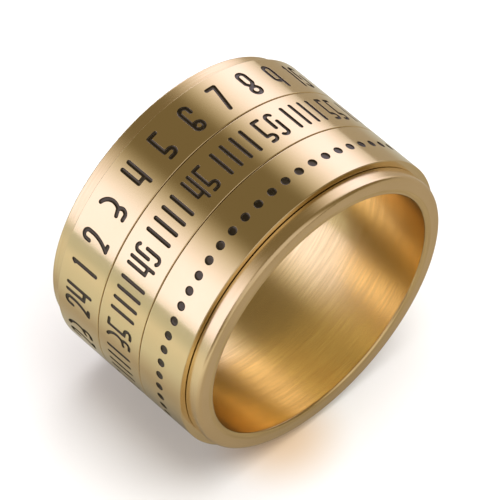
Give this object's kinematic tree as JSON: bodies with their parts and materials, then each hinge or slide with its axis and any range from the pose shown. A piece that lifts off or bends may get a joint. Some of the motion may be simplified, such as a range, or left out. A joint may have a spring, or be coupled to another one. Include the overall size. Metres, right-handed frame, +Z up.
{
  "type": "row counter ring",
  "caption": "Knitter's row counter worn as a finger ring: engraved bands with numerals, scale ticks and dots turn freely on a flanged metal sleeve.",
  "frame": {"origin": "middle of the bore, half way along the ring", "axes": "+Y along the ring's axis from the sleeve's own flange to the pressed collar; +Z up, with the ring standing on its rims; +X to the right seen from the flange's end"},
  "size_m": [0.0228, 0.014, 0.0227],
  "materials": {
    "band_metal": "polished gold-coloured plating over steel",
    "sleeve_metal": "gold-coloured plating, brushed round the bore and satin on the end face",
    "collar_metal": "gold-coloured plating, satin",
    "enamel": "glossy black resin enamel, slightly sunk"
  },
  "bodies": {
    "sleeve": {"inner_sleeve": "sleeve_metal", "end_collar": "collar_metal"},
    "count_band": {"count_band": "band_metal", "count_numeral_01": "enamel", "count_numeral_02": "enamel", "count_numeral_03": "enamel", "count_numeral_04": "enamel", "count_numeral_05": "enamel", "count_numeral_06": "enamel", "count_numeral_07": "enamel", "count_numeral_08": "enamel", "count_numeral_09": "enamel", "count_numeral_10": "enamel", "count_numeral_11": "enamel", "count_numeral_12": "enamel", "count_numeral_13": "enamel", "count_numeral_14": "enamel", "count_numeral_15": "enamel", "count_numeral_16": "enamel", "count_numeral_17": "enamel", "count_numeral_18": "enamel", "count_numeral_19": "enamel", "count_numeral_20": "enamel", "count_numeral_21": "enamel", "count_numeral_22": "enamel", "count_numeral_23": "enamel", "count_numeral_24": "enamel"},
    "scale_band": {"scale_band": "band_metal", "scale_ticks": "enamel", "scale_numeral_00": "enamel", "scale_numeral_05": "enamel", "scale_numeral_10": "enamel", "scale_numeral_15": "enamel", "scale_numeral_20": "enamel", "scale_numeral_25": "enamel", "scale_numeral_30": "enamel", "scale_numeral_35": "enamel", "scale_numeral_40": "enamel", "scale_numeral_45": "enamel", "scale_numeral_50": "enamel", "scale_numeral_55": "enamel"},
    "dot_band": {"dot_band": "band_metal", "counting_dots": "enamel"}
  },
  "joints": [
    {"name": "count_band_spin", "type": "hinge", "parent": "sleeve", "child": "count_band", "pos_m": [0, 0, 0], "axis": [0, 1, 0], "continuous": true},
    {"name": "scale_band_spin", "type": "hinge", "parent": "sleeve", "child": "scale_band", "pos_m": [0, 0, 0], "axis": [0, 1, 0], "continuous": true},
    {"name": "dot_band_spin", "type": "hinge", "parent": "sleeve", "child": "dot_band", "pos_m": [0, 0, 0], "axis": [0, 1, 0], "continuous": true}
  ]
}
